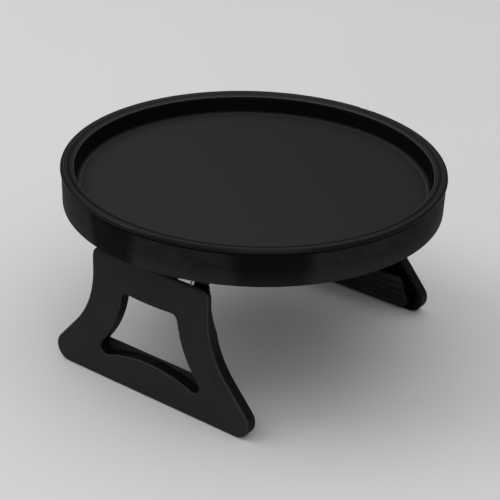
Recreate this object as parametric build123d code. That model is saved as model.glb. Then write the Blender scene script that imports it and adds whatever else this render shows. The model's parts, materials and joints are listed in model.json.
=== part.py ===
from build123d import *
from math import acos, atan2, cos, pi, radians, sin, sqrt, tan
import os

# Round clip-on tray for a sofa arm, in millimetres.
# The origin is the middle of the foam pad's lower face, where the tray lies on the arm.
# +Z is up, X runs along the hinge pins, and the front jaw is on the -Y side.

# Foam pad and housing below the tray
arm_pad_thickness = 2.0
arm_pad_side_gap = 5.5
arm_pad_end_margin = 13.0
arm_pad_corner = 6.0
base_reach = 12.0
base_end_room = 16.1
base_corner = 8.0
base_wall = 2.5
base_edge_round = 1.5
base_rib_places_share = (-0.42, 0.0, 0.42)

# Tray
tray_radius = 150.0
tray_height = 30.8
shoulder_drop = 4.4
shoulder_round = 0.4
crown_round = 2.8
crown_fall = 3.1
rim_width = 10.7
rim_inner_round = 1.2
lip_overhang = 0.8
groove_height = 1.0
groove_depth = 0.7
wall_draft = 0.5
foot_round = 1.2
tray_depth = 17.0
inner_draft = 2.0
floor_round = 1.0
floor_thickness = 3.0
tray_wall = 2.4
channel_roof_depth = 5.4
tray_rib_count = 20
tray_rib_thickness = 1.8
tray_rib_height = 6.0
tray_rib_start = 30.0
ring_rib_inset = 9.3
weld = 0.5

# Screws between the housing and the tray
screw_edge = 10.0
screw_places_share = (-0.82, 0.0, 0.82)
screw_radius = 1.75
screw_length = 10.5
screw_tip = 1.6
screw_head_radius = 3.6
screw_head_height = 2.4
screw_head_round = 0.9
screw_clearance = 0.05
boss_radius = 4.2
boss_length = 9.0
boss_hole_skin = 2.0
well_wall = 2.0
head_room = 0.9
seat_thickness = 2.5

# Jaws
jaw_tuck = 22.9
jaw_drop = 15.7
jaw_height = 108.9
jaw_thickness = 10.0
jaw_top_half_width = 54.5
jaw_foot_half_width = 94.8
jaw_top_corner = 6.0
jaw_toe = 11.3
flare_start_drop = 9.3
jaw_front_round = 2.0
jaw_back_round = 0.8
jaw_skin = 3.0
jaw_rim_wall = 2.6
jaw_rib = 2.0
jaw_rib_rows = 4
jaw_rib_spread = 22.0
hinge_zone_height = 17.7
smallest_cell_share = 0.08

# Window through each jaw
window_drop = 27.8
window_height = 61.0
window_top_half_width = 27.0
window_foot_half_width = 51.0
window_corner = 5.0
window_top_bow = 1.8
window_side_bow = 4.0
window_foot_bow = 7.2
window_front_round = 1.2

# Hinges
pin_radius = 2.0
pin_setback = 7.5
pin_end_skin = 4.5
pin_chamfer = 0.4
running_clearance = 0.05
barrel_radius = 7.2
lug_radius = 4.8
lug_thickness = 6.5
lug_side_clearance = 0.5
lug_lean = 35.0
fold_angle = 90.0
pocket_clearance = 0.4
knuckle_width = 10.5
plug_head_radius = 2.4
plug_head_height = 0.8
plug_stem = 3.0
cut_overrun = 20.0

# Torsion springs round the pins
wire_radius = 0.5
coil_radius = 4.0
coil_pitch = 1.7
coil_turns = 9
coil_lug_gap = 2.9
coil_knuckle_gap = 2.0
jaw_leg = 14.0
base_leg_standoff = 2.8
base_leg_bend = 2.5
base_leg_inside = 4.0
leg_clearance = 0.4

# Rubber grips on the jaws
grip_thickness = 3.0
grip_height = 24.4
grip_foot_margin = 3.0
grip_side_margin = 11.8
grip_taper = 11.0
grip_corner = 4.0
grip_groove_depth = 1.0
grip_groove_width = 2.0
grip_groove_pitch = 4.8
grip_groove_count = 4

# Levels and places that follow from the sizes above
full_turn = 360.0
quarter_turn = 90.0
jaw_face_reach = tray_radius - jaw_tuck
pin_half_length = jaw_top_half_width - pin_end_skin
base_half_width = pin_half_length
base_half_length = jaw_face_reach - base_end_room
base_bottom = arm_pad_thickness
tray_foot = base_bottom + base_reach
tray_crest = tray_foot + tray_height
shoulder = tray_crest - shoulder_drop
tray_floor = tray_crest - tray_depth
underside = tray_floor - floor_thickness
rim_inner_radius = tray_radius - rim_width
floor_radius = rim_inner_radius - inner_draft
wall_top_radius = tray_radius - lip_overhang
foot_radius = wall_top_radius - wall_draft
channel_inner = floor_radius + tray_wall
channel_roof = tray_crest - channel_roof_depth
boss_end = underside - boss_length
well_radius = screw_head_radius + head_room
screw_side = base_half_width - screw_edge
arm_pad_width = 2 * (screw_side - well_radius - arm_pad_side_gap)
arm_pad_length = 2 * (base_half_length - arm_pad_end_margin)
ring_rib_radius = floor_radius - ring_rib_inset
jaw_top = tray_foot - jaw_drop
jaw_foot = jaw_top - jaw_height
pin_y = pin_setback - jaw_face_reach
pin_z = jaw_top - pin_setback
pocket_radius = lug_radius + pocket_clearance
knuckle_inner = jaw_top_half_width - knuckle_width
lug_outer = knuckle_inner - lug_side_clearance
leg_hole_radius = wire_radius + leg_clearance
coil_end = lug_outer - lug_thickness - coil_lug_gap
coil_start = coil_end - coil_pitch * (coil_turns + lug_lean / full_turn)
centre_knuckle_half = coil_start - coil_knuckle_gap
grip_foot_half_width = jaw_foot_half_width - grip_side_margin
grip_top_half_width = grip_foot_half_width - grip_taper
base_leg_y = -base_half_length - base_leg_standoff
base_leg_rise = (base_leg_y - pin_y + coil_radius * cos(radians(lug_lean))) / tan(radians(lug_lean))
base_leg_z = pin_z + coil_radius * sin(radians(lug_lean)) + base_leg_rise
screw_places = [
    (side * screw_side, share * base_half_length)
    for side in (-1, 1)
    for share in screw_places_share
]


def face_of(points, radii):
    """A flat face whose corners are rounded one by one."""
    return Face(FilletPolyline(*points, radius=radii, close=True))


def block(x_range, y_range, z_range):
    """A box between two corners."""
    size = [high - low for low, high in (x_range, y_range, z_range)]
    middle = [(high + low) / 2 for low, high in (x_range, y_range, z_range)]
    return Pos(*middle) * Box(*size)


def upright_cylinder(x, y, radius, low, high):
    """A cylinder along Z between two levels."""
    return Pos(x, y, (low + high) / 2) * Cylinder(radius, high - low)


def cross_cylinder(y, z, radius, left, right):
    """A cylinder along X between two places."""
    return Pos((left + right) / 2, y, z) * Rot(0, quarter_turn, 0) * Cylinder(radius, right - left)


def to_back(shape):
    """The same piece on the back jaw's side."""
    return shape.rotate(Axis.Z, full_turn / 2)


# Tray

def tray_section():
    """Half section of the shell: crowned rim, shadow groove, walls and floor."""
    groove_radius = wall_top_radius - groove_depth
    groove_foot = shoulder - groove_height
    points = [
        (foot_radius, tray_foot),
        (wall_top_radius, groove_foot),
        (groove_radius, groove_foot),
        (groove_radius, shoulder),
        (tray_radius, shoulder),
        (tray_radius, tray_crest),
        (rim_inner_radius, tray_crest - crown_fall),
        (floor_radius, tray_floor),
        (0, tray_floor),
        (0, underside),
        (channel_inner, underside),
        (rim_inner_radius + tray_wall, channel_roof),
        (wall_top_radius - tray_wall, channel_roof),
        (foot_radius - tray_wall, tray_foot),
    ]
    radii = [foot_round, 0, 0, 0, shoulder_round, crown_round, rim_inner_round, floor_round]
    radii += [0] * (len(points) - len(radii))
    return Plane.XZ * face_of(points, radii)


def tray_radial_rib():
    """One rib under the floor, which runs on up into the hollow rim."""
    outer_end = foot_radius - tray_wall + weld
    rib_foot = underside - tray_rib_height
    points = [
        (tray_rib_start, underside + weld),
        (tray_rib_start, rib_foot),
        (outer_end, rib_foot),
        (outer_end, channel_roof + weld),
        (channel_inner - weld, channel_roof + weld),
        (channel_inner - weld, underside + weld),
    ]
    profile = Plane.XZ * Face(Polyline(*points, close=True))
    return extrude(profile, tray_rib_thickness / 2, both=True)


def tray():
    """The moulded tray, open underneath, with ribs and screw bosses."""
    shell = revolve(tray_section(), Axis.Z)
    rib = tray_radial_rib()
    ribs = [rib.rotate(Axis.Z, full_turn * (i + 0.5) / tray_rib_count) for i in range(tray_rib_count)]
    ring_outer = Cylinder(ring_rib_radius + tray_rib_thickness / 2, tray_rib_height + weld)
    ring_inner = Cylinder(ring_rib_radius - tray_rib_thickness / 2, tray_rib_height + weld)
    ring = Pos(0, 0, underside - (tray_rib_height - weld) / 2) * (ring_outer - ring_inner)
    footprint = block(
        (-base_half_width - weld, base_half_width + weld),
        (-base_half_length - weld, base_half_length + weld),
        (tray_foot - cut_overrun, underside),
    )
    web = (ring + ribs) - footprint
    body = shell + web
    for x, y in screw_places:
        body += upright_cylinder(x, y, boss_radius, boss_end, underside + weld)
    for x, y in screw_places:
        hole_top = tray_floor - boss_hole_skin
        body -= upright_cylinder(x, y, screw_radius + screw_clearance, boss_end - weld, hole_top)
    return body


# Housing

def lug_profile():
    """Side view of a hinge lug: an eye on an arm that leans in under the tray."""
    lean = radians(lug_lean)
    eye = Vector(pin_y, pin_z)
    along = Vector(sin(lean), cos(lean))
    across = Vector(-cos(lean), sin(lean)) * lug_radius
    outer_start = eye + across
    inner_start = eye - across
    root_y = base_wall - base_half_length
    outer_end = outer_start + along * ((root_y - outer_start.X) / sin(lean))
    root_z = base_bottom + base_wall
    inner_end = inner_start + along * ((root_z - inner_start.Y) / cos(lean))
    arm = Face(Polyline(outer_start, inner_start, inner_end, outer_end, close=True))
    return Plane.YZ * (Sketch() + arm + Pos(pin_y, pin_z) * Circle(lug_radius))


def hinge_lugs():
    """The two lugs at the front end, before their eyes are bored."""
    lug = extrude(lug_profile(), lug_thickness)
    right = Pos(lug_outer - lug_thickness, 0, 0) * lug
    left = Pos(-lug_outer, 0, 0) * lug
    return [left, right]


def clamp_base():
    """The housing: a box open to the tray, with screw wells, ribs and hinge lugs."""
    plan = RectangleRounded(2 * base_half_width, 2 * base_half_length, base_corner)
    body = extrude(Pos(0, 0, base_bottom) * plan, underside - base_bottom)
    body = fillet(body.faces().sort_by(Axis.Z)[0].edges(), base_edge_round)
    hollow_plan = RectangleRounded(
        2 * (base_half_width - base_wall),
        2 * (base_half_length - base_wall),
        base_corner - base_wall,
    )
    hollow_floor = base_bottom + base_wall
    body -= extrude(Pos(0, 0, hollow_floor) * hollow_plan, underside - hollow_floor + weld)
    inner_half_width = base_half_width - base_wall + weld
    rib_top = boss_end - seat_thickness
    for share in base_rib_places_share:
        middle = share * base_half_length
        body += block(
            (-inner_half_width, inner_half_width),
            (middle - base_wall / 2, middle + base_wall / 2),
            (base_bottom, rib_top),
        )
    for x, y in screw_places:
        body += upright_cylinder(x, y, well_radius + well_wall, base_bottom + base_edge_round, boss_end)
    for x, y in screw_places:
        seat = boss_end - seat_thickness
        body -= upright_cylinder(x, y, well_radius, base_bottom - weld, seat)
        body -= upright_cylinder(x, y, screw_radius + screw_clearance, seat - weld, boss_end + weld)
    for lug in hinge_lugs():
        body += lug
        body += to_back(lug)
    eye = cross_cylinder(pin_y, pin_z, pin_radius + running_clearance, -lug_outer - weld, lug_outer + weld)
    body -= eye
    body -= to_back(eye)
    for x in (-coil_end, coil_end):
        middle = -base_half_length
        hole = Pos(x, middle, base_leg_z) * Rot(quarter_turn, 0, 0) * Cylinder(leg_hole_radius, 2 * base_corner)
        body -= hole
        body -= to_back(hole)
    return body


def arm_rest_pad():
    """Foam pad that lies on the sofa arm."""
    return extrude(RectangleRounded(arm_pad_width, arm_pad_length, arm_pad_corner), arm_pad_thickness)


def base_screws():
    """Pan-head screws, up through the wells into the tray's bosses."""
    seat = boss_end - seat_thickness
    tip = seat + screw_length
    profile_points = [
        (0, seat - screw_head_height),
        (screw_head_radius, seat - screw_head_height),
        (screw_head_radius, seat),
        (screw_radius, seat),
        (screw_radius, tip - screw_tip),
        (0, tip),
    ]
    radii = [0, screw_head_round, 0, 0, 0, 0]
    screw = revolve(Plane.XZ * face_of(profile_points, radii), Axis.Z)
    return Compound(children=[Pos(x, y, 0) * screw for x, y in screw_places])


# Jaws

def jaw_outline():
    """Front view of a jaw: straight shoulders, flared flanks and round toes."""
    flare_top = jaw_top - flare_start_drop
    toe_x = jaw_foot_half_width - jaw_toe
    toe_z = jaw_foot + jaw_toe
    run = toe_x - jaw_top_half_width
    fall = flare_top - toe_z
    flare_radius = (run**2 + fall**2 - jaw_toe**2) / (2 * (run + jaw_toe))
    flare_x = jaw_top_half_width + flare_radius
    flare_angle = acos((flare_x - toe_x) / (flare_radius + jaw_toe))
    shift = Vector(cos(flare_angle), sin(flare_angle))
    meeting = Vector(toe_x, toe_z) + shift * jaw_toe
    corner_x = jaw_top_half_width - jaw_top_corner
    corner_z = jaw_top - jaw_top_corner
    half_flare = flare_angle / 2
    flare_middle = Vector(flare_x, flare_top) - Vector(cos(half_flare), sin(half_flare)) * flare_radius
    toe_angle = (flare_angle - pi / 2) / 2
    toe_middle = Vector(toe_x, toe_z) + Vector(cos(toe_angle), sin(toe_angle)) * jaw_toe
    with BuildLine() as half:
        Line((0, jaw_top), (corner_x, jaw_top))
        CenterArc((corner_x, corner_z), jaw_top_corner, 0, quarter_turn)
        Line((jaw_top_half_width, corner_z), (jaw_top_half_width, flare_top))
        ThreePointArc((jaw_top_half_width, flare_top), flare_middle, meeting)
        ThreePointArc(meeting, toe_middle, (toe_x, jaw_foot))
        Line((toe_x, jaw_foot), (0, jaw_foot))
        mirror(about=Plane.YZ)
    return make_face(half.edges())


def window_outline(margin):
    """The window, whose four sides all bow into it, wider by a margin all round."""
    top = jaw_top - window_drop
    foot = top - window_height
    corners = [
        Vector(-window_top_half_width, top),
        Vector(window_top_half_width, top),
        Vector(window_foot_half_width, foot),
        Vector(-window_foot_half_width, foot),
    ]
    bows = [window_top_bow, window_side_bow, window_foot_bow, window_side_bow]
    region = Pos(0, (top + foot) / 2) * Rectangle(
        2 * (window_foot_half_width + cut_overrun),
        window_height + 2 * cut_overrun,
    )
    for i, bow in enumerate(bows):
        start = corners[i]
        end = corners[(i + 1) % len(corners)]
        side = end - start
        outward = Vector(-side.Y, side.X).normalized()
        radius = (side.length**2 / 4 + bow**2) / (2 * bow)
        middle = (start + end) / 2 + outward * (radius - bow)
        region -= Pos(middle.X, middle.Y) * Circle(radius - margin)
    return fillet(region.vertices(), window_corner + margin)


def jaw_cells(outline):
    """Pockets in the back of the jaw, between its walls and ribs."""
    field = offset(outline, -jaw_rim_wall) - window_outline(jaw_rim_wall)
    half = jaw_foot_half_width
    zone = jaw_top - hinge_zone_height
    field -= Pos(0, zone + cut_overrun) * Rectangle(2 * half, 2 * cut_overrun)
    window_foot = jaw_top - window_drop - window_height
    cross_rib = Rectangle(2 * half, jaw_rib)
    field -= Pos(0, window_foot) * (cross_rib - Rectangle(2 * window_foot_half_width, jaw_rib))
    for i in range(1, jaw_rib_rows):
        level = window_foot + i * (zone - window_foot) / jaw_rib_rows
        field -= Pos(0, level) * cross_rib
    count = int(half / jaw_rib_spread)
    for i in range(-count, count + 1):
        place = i * jaw_rib_spread
        bow = window_foot_bow if abs(place) < window_foot_half_width else 0
        bar_height = window_foot + bow - jaw_foot
        field -= Pos(place, jaw_foot + bar_height / 2) * Rectangle(jaw_rib, bar_height)
    smallest = smallest_cell_share * jaw_rib_spread**2
    return [cell for cell in field.faces() if cell.area > smallest]


def hinge_pocket():
    """Side view of the room for lugs and springs, clear from open to folded."""
    floor_angle = radians(fold_angle + lug_lean - quarter_turn)
    touch = Vector(pin_y - pocket_radius * sin(floor_angle), pin_z - pocket_radius * cos(floor_angle))
    far_y = pin_y + cut_overrun
    far_z = touch.Y - (far_y - touch.X) * tan(floor_angle)
    points = [
        touch,
        (far_y, far_z),
        (far_y, pin_z + cut_overrun),
        (pin_y - pocket_radius, pin_z + cut_overrun),
        (pin_y - pocket_radius, pin_z),
    ]
    opening = Face(Polyline(*points, close=True))
    return Plane.YZ * (Sketch() + opening + Pos(pin_y, pin_z) * Circle(pocket_radius))


def front_jaw():
    """A flared jaw with a window, a ribbed back and a hinge barrel."""
    outline = jaw_outline()
    plan = Plane.XZ.offset(jaw_face_reach - jaw_thickness)
    body = extrude(plan * (outline - window_outline(0)), jaw_thickness)
    front = body.faces().sort_by(Axis.Y)[0]
    body = fillet(front.outer_wire().edges(), jaw_front_round)
    front = body.faces().sort_by(Axis.Y)[0]
    body = fillet(front.inner_wires()[0].edges(), window_front_round)
    back = body.faces().sort_by(Axis.Y)[-1]
    body = fillet(back.outer_wire().edges(), jaw_back_round)
    for cell in jaw_cells(outline):
        body -= extrude(plan * cell, jaw_thickness - jaw_skin)
    body += cross_cylinder(pin_y, pin_z, barrel_radius, -pin_half_length, pin_half_length)
    pocket = extrude(hinge_pocket(), knuckle_inner - centre_knuckle_half)
    body -= Pos(centre_knuckle_half, 0, 0) * pocket
    body -= Pos(-knuckle_inner, 0, 0) * pocket
    body -= cross_cylinder(pin_y, pin_z, pin_radius, -jaw_top_half_width - weld, pin_half_length)
    for x in (-coil_start, coil_start):
        leg_foot = pin_z - jaw_leg - leg_clearance
        body -= upright_cylinder(x, pin_y - coil_radius, leg_hole_radius, leg_foot, pin_z)
    return body


def front_hinge_pin():
    """Steel pin that the jaw holds and the lugs turn on."""
    left = -pin_half_length - weld
    pin = cross_cylinder(pin_y, pin_z, pin_radius, left, pin_half_length)
    return chamfer(pin.edges().filter_by(GeomType.CIRCLE), pin_chamfer)


def front_pin_plug():
    """Plug that closes the pin's bore in the jaw's flank."""
    head_end = -jaw_top_half_width - plug_head_height
    stem_end = -jaw_top_half_width + plug_stem
    head = cross_cylinder(pin_y, pin_z, plug_head_radius, head_end, -jaw_top_half_width)
    stem = cross_cylinder(pin_y, pin_z, pin_radius, -jaw_top_half_width, stem_end)
    return head + stem


def front_grip_pad():
    """Grooved rubber strip on the jaw's lower bar."""
    foot = jaw_foot + grip_foot_margin
    top = foot + grip_height
    points = [
        (-grip_foot_half_width, foot),
        (grip_foot_half_width, foot),
        (grip_top_half_width, top),
        (-grip_top_half_width, top),
    ]
    plan = Plane.XZ.offset(jaw_face_reach - jaw_thickness - grip_thickness)
    pad = extrude(plan * face_of(points, [grip_corner] * len(points)), grip_thickness)
    inner_face = jaw_thickness + grip_thickness - jaw_face_reach
    first = (foot + top - grip_groove_pitch * (grip_groove_count - 1)) / 2
    for i in range(grip_groove_count):
        level = first + i * grip_groove_pitch
        pad -= block(
            (-jaw_foot_half_width, jaw_foot_half_width),
            (inner_face - grip_groove_depth, inner_face + weld),
            (level - grip_groove_width / 2, level + grip_groove_width / 2),
        )
    return pad


# Springs

def biarc(start, start_way, end, end_way):
    """Two arcs that leave and arrive along the given directions."""
    gap = end - start
    ways = start_way + end_way
    share = 2 * (1 - start_way.dot(end_way))
    reach = (sqrt(gap.dot(ways) ** 2 + share * gap.dot(gap)) - gap.dot(ways)) / share
    first_corner = start + start_way * reach
    last_corner = end - end_way * reach
    meeting = (first_corner + last_corner) / 2
    first = TangentArc(start, meeting, tangent=start_way)
    last = TangentArc(meeting, end, tangent=last_corner - first_corner)
    return [first, last]


def coil_point(angle):
    """A place on the coil's helix; the angle starts at the jaw's outer side and goes up."""
    x = coil_start + coil_pitch * angle / (2 * pi)
    return Vector(x, pin_y - coil_radius * cos(angle), pin_z + coil_radius * sin(angle))


def coil_way(angle):
    """The helix's direction at that place."""
    way = Vector(coil_pitch / (2 * pi), coil_radius * sin(angle), coil_radius * cos(angle))
    return way.normalized()


def front_right_spring():
    """Torsion spring: a leg down into the jaw, the coil, and a leg into the housing."""
    turned = 2 * pi * coil_turns + radians(lug_lean)
    steps = 2 * coil_turns
    angles = [turned * i / steps for i in range(steps + 1)]
    ways = [coil_way(angle) for angle in angles]
    ways[0] = Vector(0, 0, 1)
    ways[-1] = Vector(0, sin(radians(lug_lean)), cos(radians(lug_lean)))
    points = [coil_point(angle) for angle in angles]
    edges = [Line(points[0] - ways[0] * jaw_leg, points[0])]
    for i in range(steps):
        edges += biarc(points[i], ways[i], points[i + 1], ways[i + 1])
    corner = Vector(coil_end, base_leg_y, base_leg_z)
    tip = Vector(coil_end, base_wall - base_half_length + base_leg_inside, base_leg_z)
    edges += FilletPolyline(points[-1], corner, tip, radius=base_leg_bend).edges()
    path = Wire(edges)
    return sweep(Plane(path @ 0, z_dir=path % 0) * Circle(wire_radius), path=path)


def spring_gap():
    """Least gap between two turns of a coil, measured on points along it."""
    samples = 720
    turned = 2 * pi * coil_turns
    points = [coil_point(turned * i / samples) for i in range(samples + 1)]
    skip = samples // (2 * coil_turns)
    nearest = min(
        (points[i] - points[j]).length
        for i in range(0, samples, skip // 4)
        for j in range(i + skip, samples + 1)
    )
    return nearest - 2 * wire_radius


def build():
    """Every piece by its name."""
    jaw = front_jaw()
    grip = front_grip_pad()
    pin = front_hinge_pin()
    plug = front_pin_plug()
    right_spring = front_right_spring()
    left_spring = mirror(right_spring, Plane.YZ)
    return {
        "tray": tray(),
        "clamp_base": clamp_base(),
        "base_screws": base_screws(),
        "arm_rest_pad": arm_rest_pad(),
        "front_jaw": jaw,
        "front_grip_pad": grip,
        "front_hinge_pin": pin,
        "front_pin_plug": plug,
        "front_left_spring": left_spring,
        "front_right_spring": right_spring,
        "back_jaw": to_back(jaw),
        "back_grip_pad": to_back(grip),
        "back_hinge_pin": to_back(pin),
        "back_pin_plug": to_back(plug),
        "back_left_spring": to_back(right_spring),
        "back_right_spring": to_back(left_spring),
    }


os.makedirs("parts", exist_ok=True)
for name, shape in build().items():
    export_step(shape, f"parts/{name}.step")
print("least gap between spring turns", round(spring_gap(), 2))
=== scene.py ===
import bmesh
import bpy
import json
from math import acos, atan2, cos, inf, pi, radians, sin, sqrt, tan
from mathutils import Matrix, Vector


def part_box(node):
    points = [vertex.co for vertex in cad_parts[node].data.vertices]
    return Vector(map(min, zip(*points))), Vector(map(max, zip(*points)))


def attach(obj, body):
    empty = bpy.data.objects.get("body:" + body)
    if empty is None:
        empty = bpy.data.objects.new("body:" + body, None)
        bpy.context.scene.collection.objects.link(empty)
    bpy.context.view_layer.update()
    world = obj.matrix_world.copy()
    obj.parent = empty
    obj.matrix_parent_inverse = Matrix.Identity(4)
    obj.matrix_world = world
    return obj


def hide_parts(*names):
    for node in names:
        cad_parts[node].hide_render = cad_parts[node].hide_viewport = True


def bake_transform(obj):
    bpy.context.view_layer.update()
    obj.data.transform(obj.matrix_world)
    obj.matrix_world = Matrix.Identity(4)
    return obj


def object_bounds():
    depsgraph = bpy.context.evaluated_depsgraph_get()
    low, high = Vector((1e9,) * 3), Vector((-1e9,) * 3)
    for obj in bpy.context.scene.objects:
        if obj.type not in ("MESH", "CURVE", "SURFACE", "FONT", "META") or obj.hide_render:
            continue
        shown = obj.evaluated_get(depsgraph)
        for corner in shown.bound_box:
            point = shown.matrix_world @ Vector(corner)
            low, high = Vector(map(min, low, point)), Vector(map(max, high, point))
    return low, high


# Round clip-on tray for a sofa arm, in metres, +Z up, the front jaw on the -Y side.

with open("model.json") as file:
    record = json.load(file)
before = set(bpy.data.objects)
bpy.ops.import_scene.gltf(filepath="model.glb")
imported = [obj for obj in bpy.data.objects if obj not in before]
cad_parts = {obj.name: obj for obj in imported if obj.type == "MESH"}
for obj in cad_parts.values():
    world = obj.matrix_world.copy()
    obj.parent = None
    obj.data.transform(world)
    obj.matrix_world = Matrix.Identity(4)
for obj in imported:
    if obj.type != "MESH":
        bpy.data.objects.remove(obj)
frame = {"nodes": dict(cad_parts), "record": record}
cad_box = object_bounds()

# Camera
PHOTO_WIDTH = 500.0
FOCAL_PIXELS = 1500.0
SENSOR = 36.0
TILT = radians(27.5)
ROLL = radians(-2.05)
SWING = radians(36.0)
DISTANCE = 1.166
AIM_PIXEL = (254.3, 165.0)
AIM_HEIGHT = 0.0404


def photo_camera():
    """The camera where the photograph was taken."""
    lens = bpy.data.cameras.new("photo_camera")
    lens.sensor_width = SENSOR
    lens.lens = SENSOR * FOCAL_PIXELS / PHOTO_WIDTH
    lens.clip_start = 0.01
    right = Vector((1.0, 0.0, 0.0))
    up = Vector((0.0, sin(TILT), cos(TILT)))
    back = Vector((0.0, -cos(TILT), sin(TILT)))
    level = Matrix((right, up, back))
    roll = Matrix(((cos(ROLL), -sin(ROLL), 0.0), (sin(ROLL), cos(ROLL), 0.0), (0.0, 0.0, 1.0)))
    view = roll @ level
    half = PHOTO_WIDTH / 2
    offset = Vector((
        DISTANCE * (AIM_PIXEL[0] - half) / FOCAL_PIXELS,
        -DISTANCE * (AIM_PIXEL[1] - half) / FOCAL_PIXELS,
        -DISTANCE,
    ))
    swing = Matrix.Rotation(SWING, 3, "Z")
    place = swing @ (view.transposed() @ -offset) + Vector((0.0, 0.0, AIM_HEIGHT))
    camera = bpy.data.objects.new("photo_camera", lens)
    camera.matrix_world = Matrix.Translation(place) @ (swing @ view.transposed()).to_4x4()
    bpy.context.scene.collection.objects.link(camera)
    bpy.context.scene.camera = camera
    return camera


photo_camera()

# Levels and radii of the tray
FLOOR_LEVEL = 0.0278
SHOULDER_LEVEL = 0.0404
UNDERSIDE_LEVEL = 0.0248
# Directions of the two painted dark reflections on the tray's outer wall.
LEFT_DARK_REFLECTION = radians(-97.0)
FRONT_DARK_REFLECTION = radians(-48.0)
BORDER_RADIUS = 0.1350
RIM_INNER = 0.1393
INNER_RING = 0.1416
FURROW_RADIUS = 0.1438
MIDDLE_RING = 0.1456
OUTER_RING = 0.1473
WALL_RADIUS = 0.1484
FOOT_RADIUS = 0.1487
FOOT_LEVEL = 0.014
SOLID_FOOT_ROUND = 0.0012
FOOT_ROUND = 0.0004

# Front jaw's face, its hinge pin and springs
JAW_FACE_Y = -0.1271
PIN_Y = -0.1196
PIN_Z = -0.0092
COIL_RADIUS = 0.004
WIRE_RADIUS = 0.0005
COIL_PITCH = 0.0017
COIL_TURNS = 9
COIL_END = 0.0341
LEAN = radians(35.0)
JAW_LEG = 0.014
LEG_BEND = 0.0025
LEG_Y = -0.1138
LEG_TIP_Y = -0.1045
COIL_ANGLE = 2 * pi * COIL_TURNS + LEAN
COIL_START = COIL_END - COIL_PITCH * COIL_ANGLE / (2 * pi)


class Value:
    """A number that varies over a surface; sums on it add their Math nodes."""

    def __init__(self, finish, socket):
        self.finish = finish
        self.socket = socket

    def maths(self, operation, first, second):
        return self.finish.node("ShaderNodeMath", {"operation": operation}, {0: first, 1: second})

    def __add__(self, other):
        return self.maths("ADD", self, other)

    __radd__ = __add__

    def __sub__(self, other):
        return self.maths("SUBTRACT", self, other)

    def __rsub__(self, other):
        return self.maths("SUBTRACT", other, self)

    def __mul__(self, other):
        return self.maths("MULTIPLY", self, other)

    __rmul__ = __mul__

    def __truediv__(self, other):
        return self.maths("DIVIDE", self, other)

    def __pow__(self, other):
        return self.maths("POWER", self, other)

    def __abs__(self):
        return self.maths("ABSOLUTE", self, 0.0)


class Finish:
    """A material or world, put together node by node."""

    def __init__(self, tree):
        self.tree = tree

    def node(self, kind, settings, sockets, output=0):
        made = self.tree.nodes.new(kind)
        for name, setting in settings.items():
            setattr(made, name, setting)
        for socket, value in sockets.items():
            self.feed(made.inputs[socket], value)
        return Value(self, made.outputs[output])

    def feed(self, socket, value):
        if isinstance(value, Value):
            self.tree.links.new(value.socket, socket)
        else:
            socket.default_value = value

    def place(self):
        return self.node("ShaderNodeTexCoord", {}, {}, "Object")

    def axes(self):
        place = self.place()
        return [self.node("ShaderNodeSeparateXYZ", {}, {0: place}, axis) for axis in range(3)]

    def rise(self, value, low, high):
        """0 below one level and 1 above the other, smooth between."""
        settings = {"interpolation_type": "SMOOTHSTEP"}
        return self.node("ShaderNodeMapRange", settings, {0: value, 1: low, 2: high, 3: 0.0, 4: 1.0})

    def mix(self, share, first, second):
        settings = {"data_type": "RGBA"}
        return self.node("ShaderNodeMix", settings, {0: share, 6: first, 7: second}, 2)

    def noise(self, scale, detail=2.0, roughness=0.5, stretch=(1.0, 1.0, 1.0), shift=(0.0, 0.0, 0.0)):
        """Cloudy noise around 0.5; scale is in lumps a metre."""
        moves = {"Vector": self.place(), "Scale": stretch, "Location": shift}
        spot = self.node("ShaderNodeMapping", {}, moves)
        sockets = {"Vector": spot, "Scale": scale, "Detail": detail, "Roughness": roughness}
        return self.node("ShaderNodeTexNoise", {}, sockets)

    def cells(self, scale, stretch=(1.0, 1.0, 1.0)):
        """Distance from the middle of the nearest cell."""
        spot = self.node("ShaderNodeMapping", {}, {"Vector": self.place(), "Scale": stretch})
        return self.node("ShaderNodeTexVoronoi", {}, {"Vector": spot, "Scale": scale})

    def line(self, value, middle, half_width):
        """1 on a line, falling to 0 at its sides."""
        return 1.0 - self.rise(abs(value - middle), 0.0, half_width)

    def edges(self, reach):
        """1 on sharp outer and inner edges, 0 on open faces."""
        soft = self.node("ShaderNodeBevel", {"samples": 4}, {"Radius": reach})
        plain = self.node("ShaderNodeNewGeometry", {}, {}, "Normal")
        settings = {"operation": "DOT_PRODUCT"}
        same = self.node("ShaderNodeVectorMath", settings, {0: soft, 1: plain}, "Value")
        return self.rise(1.0 - same, 0.01, 0.16)

    def bump(self, height, distance, strength=1.0, below=None):
        sockets = {"Height": height, "Distance": distance, "Strength": strength}
        if below is not None:
            sockets["Normal"] = below
        return self.node("ShaderNodeBump", {}, sockets)


def shade(level, warmth=0.0):
    """A near-neutral grey of a given linear level."""
    return (level * (1.0 + warmth), level, level * (1.0 - warmth), 1.0)


def make_finish(name, sockets, constants):
    """A material from its links and plain values; Polish is the glossy share of a satin surface."""
    material = bpy.data.materials.new(name)
    material.use_nodes = True
    finish = Finish(material.node_tree)
    links = sockets(finish)
    polish = links.pop("Polish", None)
    shaders = [material.node_tree.nodes["Principled BSDF"]]
    if polish is not None:
        shaders.append(material.node_tree.nodes.new("ShaderNodeBsdfPrincipled"))
        shiny, dull = [Value(finish, shader.outputs[0]) for shader in shaders]
        satin = finish.node("ShaderNodeMixShader", {}, {0: polish, 1: dull, 2: shiny})
        finish.feed(material.node_tree.nodes["Material Output"].inputs["Surface"], satin)
    for shader in shaders:
        for socket, value in constants.items():
            shader.inputs[socket].default_value = value
        for socket, value in links.items():
            finish.feed(shader.inputs[socket], value)
    for dull_shader in shaders[1:]:
        dull_shader.inputs["Specular IOR Level"].default_value = 0.0
    return material


# Finishes

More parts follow.
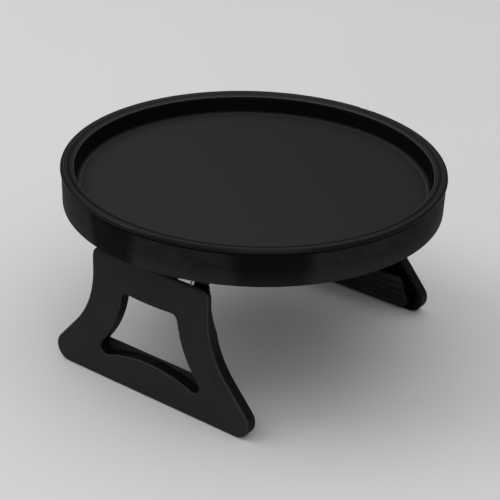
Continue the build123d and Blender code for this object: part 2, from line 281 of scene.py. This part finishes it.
def tray_sockets(finish):
    """Fine-grained floor inside a thin border, polished walls and a ringed crown, with painted light:
    the floor lighter on its front-left side, painted reflections on the outer wall, painted highlights
    on the border and rings, and painted shade in the furrow, under the lip and on the inner wall.
    """
    x, y, z = finish.axes()
    radius = (x * x + y * y) ** 0.5
    above = finish.rise(z, UNDERSIDE_LEVEL + 0.001, FLOOR_LEVEL - 0.0008)
    in_border = 1.0 - finish.rise(radius, BORDER_RADIUS - 0.0004, BORDER_RADIUS)
    flat = 1.0 - finish.rise(z, FLOOR_LEVEL + 0.0002, FLOOR_LEVEL + 0.0009)
    floor = above * flat * in_border
    border = finish.line(radius, BORDER_RADIUS, 0.0006) * above * flat
    inner_wall = finish.rise(z, FLOOR_LEVEL + 0.0006, FLOOR_LEVEL + 0.002)
    inner_wall = inner_wall * (1.0 - finish.rise(radius, RIM_INNER - 0.0004, RIM_INNER + 0.0002))
    crown = finish.rise(z, SHOULDER_LEVEL - 0.0002, SHOULDER_LEVEL + 0.0004)
    crown = crown * finish.rise(radius, RIM_INNER - 0.0003, RIM_INNER + 0.0004)
    outside = finish.rise(radius, WALL_RADIUS - 0.0006, WALL_RADIUS) * (1.0 - crown)
    painted_lip_shadow = finish.line(z, SHOULDER_LEVEL - 0.0006, 0.0013)
    painted_lip_shadow = painted_lip_shadow * finish.rise(radius, WALL_RADIUS - 0.0009, WALL_RADIUS - 0.0002)
    inner_ring = finish.line(radius, INNER_RING, 0.0004)
    middle_ring = finish.line(radius, MIDDLE_RING, 0.0004)
    outer_ring = finish.line(radius, OUTER_RING, 0.0004)
    painted_rim_highlight = finish.line(radius, RIM_INNER + 0.0006, 0.0005)
    rings = (inner_ring + middle_ring + outer_ring) * crown
    painted_furrow_shade = finish.line(radius, FURROW_RADIUS, 0.0012) * crown
    clouds = finish.noise(9.0, 3.0, 0.55)
    grain = finish.noise(1500.0, 2.0, 0.6)
    fine = finish.noise(420.0, 3.0, 0.6, shift=(0.3, 0.1, 0.2))
    # Painted reflections: light and dark patches on the outer wall stand in for the surroundings
    # mirrored in it.
    painted_reflection_patches = finish.noise(13.0, 1.0, 0.4, (1.0, 1.0, 0.25), (0.62, 0.18, 0.0))
    painted_reflection_patches = finish.rise(painted_reflection_patches, 0.36, 0.60)
    wander = (finish.noise(55.0, 2.0, 0.5) - 0.5) * 0.0016
    # Painted reflections: two dark bands on the outer wall, one to the left and one to the front.
    painted_left_reflection = finish.rise(x * cos(LEFT_DARK_REFLECTION) + y * sin(LEFT_DARK_REFLECTION) + wander, 0.1464, 0.1481)
    painted_front_reflection = finish.rise(x * cos(FRONT_DARK_REFLECTION) + y * sin(FRONT_DARK_REFLECTION) + wander, 0.1449, 0.1478)
    # Painted reflection: the outer wall is lighter towards its foot.
    painted_foot_reflection = 1.0 - finish.rise(z + wander * 2.0, 0.0155, 0.0290)
    scuffs = finish.noise(60.0, 6.0, 0.75, (1.0, 6.0, 1.0))
    scuffs = finish.rise(scuffs, 0.62, 0.72) * floor
    colour = finish.mix(clouds, shade(0.0105), shade(0.0135))
    # Painted light: the floor is lighter towards its front-left side, as if lit from there.
    painted_light_side = finish.rise(x * -0.55 - y * 0.80, -0.125, 0.125)
    painted_lit_floor = finish.mix(clouds, shade(0.0172, 0.01), shade(0.0190, 0.02))
    mat = finish.mix(painted_light_side, shade(0.0135), painted_lit_floor)
    colour = finish.mix(floor, colour, mat)
    # Painted shade: the inner wall is made near black.
    colour = finish.mix(inner_wall, colour, shade(0.0035))
    mottle = finish.rise(finish.noise(85.0, 4.0, 0.65, (1.0, 1.0, 1.6)), 0.38, 0.66)
    wall = finish.mix(painted_reflection_patches, shade(0.0070), shade(0.0130, 0.01))
    wall = finish.mix(mottle * 0.45, wall, shade(0.0240, 0.01))
    wall = finish.mix(painted_foot_reflection * 0.75, wall, shade(0.0250, 0.01))
    # The painted dark reflections laid over the outer wall.
    wall = finish.mix(painted_left_reflection * 0.88, wall, shade(0.0015))
    wall = finish.mix(painted_front_reflection * (0.92 - painted_foot_reflection * 0.35), wall, shade(0.0020))
    colour = finish.mix(outside, colour, wall)
    colour = finish.mix(crown, colour, finish.mix(fine, shade(0.0040), shade(0.0075)))
    # Painted shade: a dark band in the furrow on the crown.
    colour = finish.mix(painted_furrow_shade * 0.85, colour, shade(0.0015))
    # Painted highlights: bright rings on the crown and a bright line along its inner edge; the rings are
    # also bumps below.
    colour = finish.mix(rings * 0.9, colour, shade(0.040))
    colour = finish.mix(painted_rim_highlight * crown * 0.9, colour, shade(0.065))
    # Painted highlight: a bright line along the floor's border; the same line is also a small bump
    # below.
    colour = finish.mix(border * 0.85, colour, shade(0.065))
    # Painted shadow: a black line under the crown's lip on the outer wall.
    colour = finish.mix(painted_lip_shadow, colour, shade(0.001))
    colour = finish.mix(scuffs * 0.25, colour, shade(0.04, 0.03))
    rough = 0.5 + floor * 0.12 - inner_wall * 0.25 - outside * 0.27 - crown * 0.16 + scuffs * 0.06
    rough = rough + (fine - 0.5) * 0.12
    ripple = finish.noise(170.0, 1.0, 0.4)
    normal = finish.bump(grain * floor, 0.00005, 0.6)
    normal = finish.bump(rings * -1.0 - border * 0.5, 0.00010, 0.9, normal)
    normal = finish.bump(ripple, 0.00003, 0.5, normal)
    polish = 0.3 - outside * 0.2
    return {"Base Color": colour, "Roughness": rough, "Normal": normal, "Polish": polish}


def base_sockets(finish):
    """Plain moulded housing: fine spark texture, a few flow marks and dusty ribs."""
    clouds = finish.noise(16.0, 3.0, 0.6)
    flow = finish.noise(26.0, 3.0, 0.6, (1.0, 0.2, 1.0))
    grain = finish.noise(1300.0, 2.0, 0.6)
    worn = finish.edges(0.0008) * finish.rise(finish.noise(90.0, 4.0, 0.7), 0.4, 0.62)
    colour = finish.mix(clouds, shade(0.014, 0.01), shade(0.020, 0.02))
    colour = finish.mix(finish.rise(flow, 0.55, 0.7) * 0.4, colour, shade(0.026, 0.02))
    colour = finish.mix(worn * 0.6, colour, shade(0.045, 0.02))
    rough = 0.46 + (clouds - 0.5) * 0.25 + (grain - 0.5) * 0.1
    normal = finish.bump(grain, 0.00005, 0.6)
    normal = finish.bump(flow, 0.00008, 0.4, normal)
    return {"Base Color": colour, "Roughness": rough, "Normal": normal, "Polish": 0.3}


def jaw_sockets(finish):
    """Satin plastic, mottled, with painted light making it paler towards the toes, painted shade behind
    the front face and painted highlights on the front edges.
    """
    y, z = finish.axes()[1:]
    face = -JAW_FACE_Y
    sides = 1.0 - finish.rise(abs(y), face - 0.0026, face - 0.0014)
    painted_front_highlight = finish.line(abs(y), face - 0.0006, 0.0005)
    clouds = finish.noise(14.0, 3.0, 0.6)
    smears = finish.noise(45.0, 5.0, 0.7, (1.0, 1.0, 0.35))
    mottle = finish.rise(finish.noise(72.0, 4.0, 0.65, shift=(0.4, 0.0, 0.1)), 0.40, 0.66)
    painted_toe_light = 1.0 - finish.rise(z, -0.108, -0.058)
    grain = finish.noise(1700.0, 2.0, 0.6)
    ripple = finish.noise(85.0, 2.0, 0.5)
    rubbed = finish.edges(0.0011) * finish.rise(finish.noise(70.0, 4.0, 0.7), 0.36, 0.6)
    scratches = finish.rise(finish.noise(210.0, 3.0, 0.7, (0.12, 1.0, 1.0)), 0.66, 0.72)
    colour = finish.mix(clouds, shade(0.0125), shade(0.0170))
    colour = finish.mix(finish.rise(smears, 0.5, 0.75) * 0.4, colour, shade(0.021))
    colour = finish.mix(mottle * 0.35, colour, shade(0.0225))
    # Painted light: the jaw is paler towards its toes.
    colour = finish.mix(painted_toe_light * 0.45, colour, shade(0.0240))
    # Painted shade: the sides, top and window walls behind the front face are made near black.
    colour = finish.mix(sides * 0.85, colour, shade(0.0026))
    colour = finish.mix(rubbed * 0.4, colour, shade(0.032, 0.01))
    # Painted highlight: a bright line along the front edges.
    colour = finish.mix(painted_front_highlight * 0.6, colour, shade(0.060))
    colour = finish.mix(scratches * 0.16, colour, shade(0.04))
    rough = 0.40 + (clouds - 0.5) * 0.16 + (smears - 0.5) * 0.2
    normal = finish.bump(grain, 0.00004, 0.5)
    normal = finish.bump(ripple, 0.00010, 0.35, normal)
    return {"Base Color": colour, "Roughness": rough, "Normal": normal, "Polish": 0.3}


def grip_sockets(finish):
    """Soft rubber: dull, pitted, with pale dust in the grooves."""
    y = finish.axes()[1]
    clouds = finish.noise(30.0, 4.0, 0.65)
    pits = finish.cells(900.0)
    deep = 1.0 - finish.rise(abs(y), 0.1148, 0.1153)
    colour = finish.mix(clouds, shade(0.016, 0.02), shade(0.026, 0.03))
    colour = finish.mix(finish.rise(clouds, 0.5, 0.68) * 0.35, colour, shade(0.055, 0.05))
    colour = finish.mix(deep * 0.2, colour, shade(0.022, 0.03))
    rough = 0.78 + (clouds - 0.5) * 0.2
    normal = finish.bump(finish.rise(pits, 0.0, 0.5), 0.00008, 0.7)
    return {"Base Color": colour, "Roughness": rough, "Normal": normal}


def foam_sockets(finish):
    """Closed-cell foam with a skin of small open cells."""
    cells = finish.cells(700.0)
    big_cells = finish.cells(260.0)
    clouds = finish.noise(24.0, 3.0, 0.6)
    fibres = finish.rise(finish.noise(380.0, 3.0, 0.7, (1.0, 0.15, 1.0)), 0.64, 0.72)
    colour = finish.mix(clouds, shade(0.026, 0.02), shade(0.040, 0.03))
    colour = finish.mix((1.0 - finish.rise(cells, 0.05, 0.4)) * 0.6, colour, shade(0.012))
    colour = finish.mix(fibres * 0.3, colour, shade(0.10, 0.02))
    rough = 0.88 + (clouds - 0.5) * 0.15
    normal = finish.bump(finish.rise(cells, 0.0, 0.5), 0.00015, 0.8)
    normal = finish.bump(finish.rise(big_cells, 0.0, 0.5), 0.00015, 0.5, normal)
    return {"Base Color": colour, "Roughness": rough, "Normal": normal}


def zinc_sockets(finish):
    """Bright zinc plate, dulled in blotches."""
    blotches = finish.noise(420.0, 4.0, 0.65)
    grain = finish.noise(2600.0, 2.0, 0.6)
    colour = finish.mix(blotches, (0.36, 0.37, 0.39, 1.0), (0.56, 0.56, 0.55, 1.0))
    rough = 0.30 + (blotches - 0.5) * 0.35
    normal = finish.bump(grain, 0.00003, 0.5)
    return {"Base Color": colour, "Roughness": rough, "Normal": normal}


def pin_sockets(finish):
    """Ground steel rod with fine rings from grinding."""
    rings = finish.noise(2400.0, 2.0, 0.6, (1.0, 0.05, 0.05))
    stain = finish.noise(120.0, 4.0, 0.6)
    colour = finish.mix(stain, (0.50, 0.51, 0.52, 1.0), (0.62, 0.61, 0.60, 1.0))
    rough = 0.24 + (rings - 0.5) * 0.2 + (stain - 0.5) * 0.15
    normal = finish.bump(rings, 0.00003, 0.5)
    return {"Base Color": colour, "Roughness": rough, "Normal": normal}


def plug_sockets(finish):
    """Small glossy plugs in the jaw's plastic."""
    clouds = finish.noise(240.0, 3.0, 0.6)
    grain = finish.noise(2600.0, 2.0, 0.6)
    colour = finish.mix(clouds, shade(0.009), shade(0.016))
    rough = 0.32 + (clouds - 0.5) * 0.25
    normal = finish.bump(grain, 0.00003, 0.5)
    return {"Base Color": colour, "Roughness": rough, "Normal": normal, "Polish": 0.4}


def wire_sockets(finish):
    """Drawn spring wire with a thin film of oil."""
    film = finish.noise(300.0, 4.0, 0.65)
    drawn = finish.noise(3200.0, 2.0, 0.6, (1.0, 0.3, 0.3))
    colour = finish.mix(film, (0.18, 0.18, 0.19, 1.0), (0.32, 0.31, 0.30, 1.0))
    rough = 0.42 + (film - 0.5) * 0.3
    return {"Base Color": colour, "Roughness": rough, "Normal": finish.bump(drawn, 0.00002, 0.5)}


def studio_floor_sockets(finish):
    """Pale seamless paper."""
    clouds = finish.noise(1.6, 2.0, 0.5)
    fibres = finish.noise(700.0, 3.0, 0.6)
    colour = finish.mix(clouds, (0.60, 0.60, 0.595, 1.0), (0.64, 0.64, 0.635, 1.0))
    return {"Base Color": colour, "Normal": finish.bump(fibres, 0.0001, 0.3)}


PLASTIC = {"Metallic": 0.0, "Specular IOR Level": 0.4}
RUBBER = {"Metallic": 0.0, "Specular IOR Level": 0.1}
METAL = {"Metallic": 1.0, "Specular IOR Level": 0.5}
FINISHES = {
    "tray": make_finish("tray_plastic", tray_sockets, PLASTIC),
    "base": make_finish("housing_plastic", base_sockets, PLASTIC),
    "jaws": make_finish("jaw_plastic", jaw_sockets, PLASTIC),
    "grip_rubber": make_finish("grip_rubber", grip_sockets, RUBBER),
    "pad_foam": make_finish("pad_foam", foam_sockets, RUBBER),
    "screws": make_finish("screw_zinc", zinc_sockets, METAL),
    "pins": make_finish("ground_pin_steel", pin_sockets, METAL),
    "plugs": make_finish("plug_plastic", plug_sockets, PLASTIC),
    "springs": make_finish("spring_wire", wire_sockets, METAL),
}
for subpart in frame["record"]["subparts"]:
    node = frame["nodes"][subpart["node"]]
    node.data.materials.clear()
    node.data.materials.append(FINISHES[subpart["material_slot"]])


# Pieces made here

def add_piece(name, shape, slot, smooth=True):
    """Turns a finished bmesh into a piece with its finish."""
    bmesh.ops.recalc_face_normals(shape, faces=shape.faces)
    mesh = bpy.data.meshes.new(name)
    shape.to_mesh(mesh)
    shape.free()
    for face in mesh.polygons:
        face.use_smooth = smooth
    mesh.materials.append(FINISHES[slot])
    piece = bpy.data.objects.new(name, mesh)
    bpy.context.scene.collection.objects.link(piece)
    return piece


def ring_edges(shape, made):
    """The edges of the ring that an extrude or spin leaves at its end."""
    verts = {item for item in made if isinstance(item, bmesh.types.BMVert)}
    return [edge for edge in shape.edges if edge.verts[0] in verts and edge.verts[1] in verts]


def extrude_ring(shape, edges, move):
    """Draws a ring of edges out along a line."""
    made = bmesh.ops.extrude_edge_only(shape, edges=edges)["geom"]
    verts = [item for item in made if isinstance(item, bmesh.types.BMVert)]
    bmesh.ops.translate(shape, verts=verts, vec=move)
    return ring_edges(shape, made)


def spin_ring(shape, edges, centre, axis, angle, steps, advance=(0.0, 0.0, 0.0)):
    """Draws a ring of edges round an axis, moving it on a little at each step."""
    verts = list({vert for edge in edges for vert in edge.verts})
    made = bmesh.ops.spin(
        shape, geom=verts + list(edges), cent=centre, axis=axis, dvec=advance,
        angle=angle, steps=steps, use_duplicate=False,
    )["geom_last"]
    return ring_edges(shape, made)


def front_right_spring_shape():
    """One wire: a leg from the jaw, nine turns round the pin, a bend and a leg into the housing."""
    shape = bmesh.new()
    foot = Matrix.Translation((COIL_START, PIN_Y - COIL_RADIUS, PIN_Z - JAW_LEG))
    bmesh.ops.create_circle(shape, segments=10, radius=WIRE_RADIUS, cap_ends=True, matrix=foot)
    ring = extrude_ring(shape, list(shape.edges), Vector((0.0, 0.0, JAW_LEG)))
    steps = 20 * COIL_TURNS
    advance = ((COIL_END - COIL_START) / steps, 0.0, 0.0)
    ring = spin_ring(shape, ring, (0.0, PIN_Y, PIN_Z), (-1.0, 0.0, 0.0), COIL_ANGLE, steps, advance)
    way = Vector((0.0, sin(LEAN), cos(LEAN)))
    leave = Vector((COIL_END, PIN_Y - COIL_RADIUS * cos(LEAN), PIN_Z + COIL_RADIUS * sin(LEAN)))
    corner = leave + way * ((LEG_Y - leave.y) / way.y)
    trim = LEG_BEND * tan((pi / 2 - LEAN) / 2)
    bend_start = corner - way * trim
    ring = extrude_ring(shape, ring, bend_start - leave)
    side = Vector((0.0, cos(LEAN), -sin(LEAN)))
    centre = bend_start + side * LEG_BEND
    ring = spin_ring(shape, ring, centre, (-1.0, 0.0, 0.0), pi / 2 - LEAN, 8)
    run = LEG_TIP_Y - (LEG_Y + trim)
    ring = extrude_ring(shape, ring, Vector((0.0, run, 0.0)))
    bmesh.ops.edgeloop_fill(shape, edges=ring)
    return shape


def spring(name, mirrored, turned):
    """A hinge spring, mirrored and turned to its jaw's hinge."""
    shape = front_right_spring_shape()
    place = Matrix.Identity(4)
    if mirrored:
        place = Matrix.Diagonal((-1.0, 1.0, 1.0, 1.0))
    if turned:
        place = Matrix.Rotation(pi, 4, "Z") @ place
    bmesh.ops.transform(shape, matrix=place, verts=shape.verts)
    piece = add_piece(name, shape, "springs")
    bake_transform(piece)
    return piece


FOAM_CORNER = 0.006
FOAM_EDGE = 0.0007


def foam_pad():
    """The foam strip under the housing: die cut, its lower edge rubbed soft."""
    low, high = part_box("arm_rest_pad")
    shape = bmesh.new()
    size = high - low
    place = Matrix.Translation((low + high) / 2) @ Matrix.Diagonal((*size, 1.0))
    bmesh.ops.create_cube(shape, size=1.0, matrix=place)
    corners = [e for e in shape.edges if abs(e.verts[0].co.z - e.verts[1].co.z) > size.z / 2]
    bmesh.ops.bevel(
        shape, geom=corners, offset=FOAM_CORNER, offset_type="OFFSET", affect="EDGES",
        segments=8, profile=0.5, material=-1,
    )
    rim = [e for e in shape.edges if all(v.co.z < low.z + size.z / 2 for v in e.verts)]
    bmesh.ops.bevel(
        shape, geom=rim, offset=FOAM_EDGE, offset_type="OFFSET", affect="EDGES",
        segments=3, profile=0.5, material=-1,
    )
    piece = add_piece("foam_pad", shape, "pad_foam")
    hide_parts("arm_rest_pad")
    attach(piece, "tray_and_base")
    return piece


SCREW_SIDE = 0.040
HOUSING_HALF_LENGTH = 0.111
SCREW_PLACES = [
    (side * SCREW_SIDE, share * HOUSING_HALF_LENGTH)
    for side in (-1, 1)
    for share in (-0.82, 0.0, 0.82)
]
SCREW_SEAT = 0.0133
HEAD_RADIUS = 0.0036
HEAD_HEIGHT = 0.0024
HEAD_ROUND = 0.0009
RECESS_ARM = 0.0019
RECESS_HALF_WIDTH = 0.00045
RECESS_DEPTH = 0.0013
RECESS_TAPER = 0.55
SHANK_RADIUS = 0.00175
SHANK_LENGTH = 0.0105
SHANK_TIP = 0.0016


def spin_profile(shape, points, segments):
    """Turns a line of points round Z into a closed skin."""
    verts = [shape.verts.new(point) for point in points]
    edges = [shape.edges.new(pair) for pair in zip(verts, verts[1:])]
    bmesh.ops.spin(
        shape, geom=verts + edges, cent=(0.0, 0.0, 0.0), axis=(0.0, 0.0, 1.0),
        angle=2 * pi, steps=segments, use_merge=True,
    )
    bmesh.ops.remove_doubles(shape, verts=shape.verts, dist=0.000001)


def screw_shape():
    """A pan-head screw, head down, with a cross recess and a plain shank."""
    shape = bmesh.new()
    bottom = SCREW_SEAT - HEAD_HEIGHT
    flat_radius = HEAD_RADIUS - HEAD_ROUND
    points = [(flat_radius, 0.0, bottom)]
    for step in range(1, 6):
        angle = radians(90.0 * step / 5)
        out = flat_radius + HEAD_ROUND * sin(angle)
        points.append((out, 0.0, bottom + HEAD_ROUND * (1 - cos(angle))))
    points.append((HEAD_RADIUS, 0.0, SCREW_SEAT))
    points.append((SHANK_RADIUS, 0.0, SCREW_SEAT))
    points.append((SHANK_RADIUS, 0.0, SCREW_SEAT + SHANK_LENGTH - SHANK_TIP))
    points.append((0.0, 0.0, SCREW_SEAT + SHANK_LENGTH))
    spin_profile(shape, points, 24)
    rim = [e for e in shape.edges if e.is_boundary]
    arm, half = RECESS_ARM, RECESS_HALF_WIDTH
    middle = Vector((0.0, 0.0, bottom))
    cross = []
    for quarter in range(4):
        turn = Matrix.Rotation(quarter * pi / 2, 3, "Z")
        for spot in ((arm, -half), (arm, half), (half, half)):
            cross.append(shape.verts.new(turn @ Vector((*spot, 0.0)) + middle))
    loop = [shape.edges.new((cross[i - 1], cross[i])) for i in range(len(cross))]
    bmesh.ops.bridge_loops(shape, edges=rim + loop)
    wall = bmesh.ops.extrude_edge_only(shape, edges=loop)["geom"]
    deep = [item for item in wall if isinstance(item, bmesh.types.BMVert)]
    bmesh.ops.translate(shape, verts=deep, vec=(0.0, 0.0, RECESS_DEPTH))
    narrow = Matrix.Diagonal((RECESS_TAPER, RECESS_TAPER, 1.0, 1.0))
    bmesh.ops.transform(shape, matrix=narrow, verts=deep)
    bmesh.ops.edgeloop_fill(shape, edges=ring_edges(shape, deep))
    return shape


def screws():
    """Six equal screws as one piece."""
    one = screw_shape()
    mesh = bpy.data.meshes.new("one_screw")
    one.to_mesh(mesh)
    one.free()
    shape = bmesh.new()
    for number, (x, y) in enumerate(SCREW_PLACES):
        before = set(shape.verts)
        shape.from_mesh(mesh)
        fresh = [v for v in shape.verts if v not in before]
        turn = Matrix.Rotation(0.7 * number, 4, "Z")
        bmesh.ops.transform(shape, matrix=Matrix.Translation((x, y, 0.0)) @ turn, verts=fresh)
    bpy.data.meshes.remove(mesh)
    piece = add_piece("pan_head_screws", shape, "screws", smooth=False)
    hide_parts("base_screws")
    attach(piece, "tray_and_base")
    return piece


# Jaws: the solids' outline, and the one shown; a fade is where a shift is full and where it is none

JAW_TOP = -0.0017
JAW_RAISE = 0.0023
BARREL_FRONT_Y = -0.1249
BARREL_END_X = 0.0505
BARREL_TRIM = 0.0035
NECK_THINNING = 0.5
NECK_FOOT = -0.0149
NECK_RAMP_FOOT = -0.0349
GRIP_TOP = -0.0832
GRIP_RAISE = 0.0017
FLANK_FADE = (0.0045, 0.0140)
WINDOW_FADE = (0.0035, 0.0100)
RAISE_FADE = (0.0020, 0.0060)
GRIP_FADE = (0.0040, 0.0100)
BARREL_END_DEPTH = 0.001
HAIR = 0.00005
WINDOW_MIDDLE = Vector((0.0, -0.0585))
SOLID_FLANK = {"half": 0.0545, "start": -0.0110, "share": 1.0, "toe": (0.0835, -0.0993), "round": 0.0113}
SHOWN_FLANK = {"half": 0.0554, "start": -0.0190, "share": 0.9, "toe": (0.0821, -0.0981), "round": 0.0125}
SOLID_WINDOW = {
    "circles": (((0.0, 0.1721), 0.2034), ((0.1621, -0.0116), 0.1363), ((0.0, -0.2675), 0.1842)),
    "rounds": (0.0050, 0.0050),
}
SHOWN_WINDOW = {
    "circles": (((0.0, 0.2133), 0.2430), ((0.1162, -0.0215), 0.0900), ((0.0, -0.1909), 0.1098)),
    "rounds": (0.0055, 0.0060),
}


def flank(level, sizes):
    """Half the jaw's width at a level: straight, flared on an arc, then round the toe."""
    start = Vector((sizes["half"], sizes["start"]))
    toe = Vector(sizes["toe"])
    toe_round = sizes["round"]
    spread = toe - start
    fullest = (spread.length_squared - toe_round**2) / (2 * (spread.x + toe_round))
    radius = sizes["share"] * fullest
    centre = start + Vector((radius, 0.0))
    gap = toe - centre
    slant = atan2(gap.y, gap.x) - acos((radius + toe_round) / gap.length)
    square = Vector((cos(slant), sin(slant)))
    leave = centre + square * radius
    arrive = toe - square * toe_round
    if level > start.y:
        return start.x
    if level > leave.y:
        return centre.x - sqrt(radius**2 - (level - centre.y) ** 2)
    if level > arrive.y:
        return leave.x + (arrive.x - leave.x) * (leave.y - level) / (leave.y - arrive.y)
    return toe.x + sqrt(max(0.0, toe_round**2 - (level - toe.y) ** 2))


def crossing(first, first_radius, last, last_radius):
    """Where two circles cross, on the side of the window's middle."""
    gap = last - first
    squares = first_radius**2 + gap.length_squared - last_radius**2
    turn = acos(squares / (2 * first_radius * gap.length))
    base = atan2(gap.y, gap.x)
    spots = [first + Vector((cos(base + t), sin(base + t))) * first_radius for t in (turn, -turn)]
    return min(spots, key=lambda spot: (spot - WINDOW_MIDDLE).length)


def ray_reach(way, centre, radius, side):
    """How far from the window's middle a ray meets a circle's near (-1) or far (1) side."""
    gap = centre - WINDOW_MIDDLE
    along = gap.dot(way)
    squares = radius**2 - gap.length_squared + along**2
    if squares < 0.0 or along < 0.0:
        return inf
    return along + side * sqrt(squares)


def window_reach(way, window):
    """How far the window reaches from its middle, along a direction on its right half."""
    circles = [(Vector(centre), radius) for centre, radius in window["circles"]]
    for corner in range(2):
        (first, first_radius), (last, last_radius) = circles[corner:corner + 2]
        small = window["rounds"][corner]
        centre = crossing(first, first_radius + small, last, last_radius + small)
        ends = [
            centre + (other - centre).normalized() * small - WINDOW_MIDDLE
            for other in (first, last)
        ]
        high, low = [atan2(end.y, end.x) for end in ends]
        if low <= atan2(way.y, way.x) <= high:
            return ray_reach(way, centre, small, 1)
    return min(ray_reach(way, centre, radius, -1) for centre, radius in circles)


def fade(distance, full, none):
    """1 up to one distance and 0 from the other, smooth between."""
    share = min(1.0, max(0.0, (none - distance) / (none - full)))
    return share * share * (3.0 - 2.0 * share)


def shown_place(spot):
    """Where a point of the solid front jaw lies on the one shown."""
    side = -1.0 if spot.x < 0.0 else 1.0
    out = abs(spot.x)
    level = spot.z
    solid_half = flank(level, SOLID_FLANK)
    from_flank = fade(solid_half - out, *FLANK_FADE)
    out_shift = (flank(level, SHOWN_FLANK) - solid_half) * from_flank
    from_middle = Vector((out, level)) - WINDOW_MIDDLE
    way = from_middle.normalized()
    solid_reach = window_reach(way, SOLID_WINDOW)
    from_window = fade(from_middle.length - solid_reach, *WINDOW_FADE)
    window_shift = (window_reach(way, SHOWN_WINDOW) - solid_reach) * from_window
    rise = JAW_RAISE * fade(JAW_TOP - level, *RAISE_FADE)
    in_barrel = spot.y > BARREL_FRONT_Y and out < BARREL_END_X and level < JAW_TOP - HAIR
    if in_barrel:
        rise = 0.0
    if in_barrel and spot.x > BARREL_END_X - BARREL_END_DEPTH:
        out_shift = -BARREL_TRIM
    up_neck = (level - NECK_RAMP_FOOT) / (NECK_FOOT - NECK_RAMP_FOOT)
    thin = NECK_THINNING * min(1.0, max(0.0, up_neck)) if spot.x > BARREL_END_X else 0.0
    return Vector((
        side * (out + out_shift + way.x * window_shift),
        JAW_FACE_Y + (spot.y - JAW_FACE_Y) * (1.0 - thin),
        level + way.y * window_shift + rise,
    ))


def shown_pin_place(spot):
    """The pin, cut to the barrel's right end."""
    return spot - Vector((BARREL_TRIM if spot.x > 0.0 else 0.0, 0.0, 0.0))


def shown_plug_place(spot):
    """The plug, as far out as the fuller flank that it closes."""
    return spot - Vector((SHOWN_FLANK["half"] - SOLID_FLANK["half"], 0.0, 0.0))


def shown_grip_place(spot):
    """The grip strip with its upper edge higher in the window."""
    return spot + Vector((0.0, 0.0, GRIP_RAISE * fade(GRIP_TOP - spot.z, *GRIP_FADE)))


def shown_tray_place(spot):
    """The tray with a crisper lower edge outside."""
    radius = sqrt(spot.x**2 + spot.y**2)
    out = (radius - (FOOT_RADIUS - SOLID_FOOT_ROUND)) / SOLID_FOOT_ROUND
    down = (FOOT_LEVEL + SOLID_FOOT_ROUND - spot.z) / SOLID_FOOT_ROUND
    if out < -0.01 or down < -0.01:
        return spot
    gain = SOLID_FOOT_ROUND - FOOT_ROUND
    wider = 1.0 + gain * (1.0 - out) / radius
    return Vector((spot.x * wider, spot.y * wider, spot.z - gain * (1.0 - down)))


def let_out(name, node, slot, body, turned, shown):
    """A copy of a solid, each point moved to where it shows on the front side."""
    shape = bmesh.new()
    shape.from_mesh(frame["nodes"][node].data)
    bmesh.ops.remove_doubles(shape, verts=shape.verts, dist=0.000001)
    turn = Matrix.Rotation(pi if turned else 0.0, 4, "Z")
    bmesh.ops.transform(shape, matrix=turn, verts=shape.verts)
    for vert in shape.verts:
        vert.co = shown(vert.co)
    bmesh.ops.transform(shape, matrix=turn, verts=shape.verts)
    piece = add_piece(name, shape, slot)
    piece.data.set_sharp_from_angle(angle=radians(35.0))
    weights = piece.modifiers.new("flat_faces", "WEIGHTED_NORMAL")
    weights.keep_sharp = True
    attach(piece, body)
    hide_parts(node)
    return piece


foam_pad()
screws()
let_out("tray_shell", "tray", "tray", "tray_and_base", False, shown_tray_place)
for side, turned in (("front", False), ("back", True)):
    jaw = side + "_jaw"
    let_out(jaw + "_shell", jaw, "jaws", jaw, turned, shown_place)
    let_out(side + "_pin_rod", side + "_hinge_pin", "pins", jaw, turned, shown_pin_place)
    let_out(side + "_plug_cap", side + "_pin_plug", "plugs", jaw, turned, shown_plug_place)
    let_out(side + "_grip_strip", side + "_grip_pad", "grip_rubber", jaw, turned, shown_grip_place)
    for hand in ("left", "right"):
        mirrored = (hand == "left") != turned
        node = side + "_" + hand + "_spring"
        piece = spring(node + "_wire", mirrored, turned)
        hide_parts(node)


# Studio

def studio_floor():
    """A pale floor that the jaws' feet would stand on."""
    level = cad_box[0][2]
    shape = bmesh.new()
    place = Matrix.Translation((0.0, 0.0, level))
    bmesh.ops.create_grid(shape, x_segments=4, y_segments=4, size=6.0, matrix=place)
    mesh = bpy.data.meshes.new("studio_floor")
    shape.to_mesh(mesh)
    shape.free()
    constants = {"Roughness": 0.9, "Specular IOR Level": 0.1}
    mesh.materials.append(make_finish("studio_paper", studio_floor_sockets, constants))
    floor = bpy.data.objects.new("studio_floor", mesh)
    bpy.context.scene.collection.objects.link(floor)
    return floor


def soft_lamp(name, place, aim, size, power):
    """A large square lamp that looks at a point."""
    lamp = bpy.data.lights.new(name, "AREA")
    lamp.shape = "SQUARE"
    lamp.size = size
    lamp.energy = power
    holder = bpy.data.objects.new(name, lamp)
    holder.location = place
    way = Vector(aim) - Vector(place)
    holder.rotation_euler = way.to_track_quat("-Z", "Y").to_euler()
    bpy.context.scene.collection.objects.link(holder)
    return holder


def studio_world():
    """Even light from above that falls off softly towards the horizon."""
    world = bpy.data.worlds.new("studio")
    bpy.context.scene.world = world
    world.use_nodes = True
    finish = Finish(world.node_tree)
    ground = world.node_tree.nodes["Background"]
    way = finish.node("ShaderNodeTexCoord", {}, {}, "Generated")
    height = finish.node("ShaderNodeSeparateXYZ", {}, {0: way}, 2)
    lit = finish.rise(height, 0.3, 1.0)
    level = 0.10 + lit * 1.35
    seen = finish.node("ShaderNodeLightPath", {}, {}, "Is Camera Ray")
    ground.inputs["Color"].default_value = (1.0, 1.0, 1.0, 1.0)
    finish.feed(ground.inputs["Strength"], level * (1.0 - seen) + seen * 0.82)


studio_floor()
studio_world()
soft_lamp("window_light", (-1.6, -0.9, 1.9), (0.0, 0.0, 0.0), 1.6, 18.0)
soft_lamp("fill_light", (1.7, -1.5, 1.2), (0.0, 0.0, 0.0), 1.4, 6.0)
bpy.context.scene.view_settings.view_transform = "Standard"
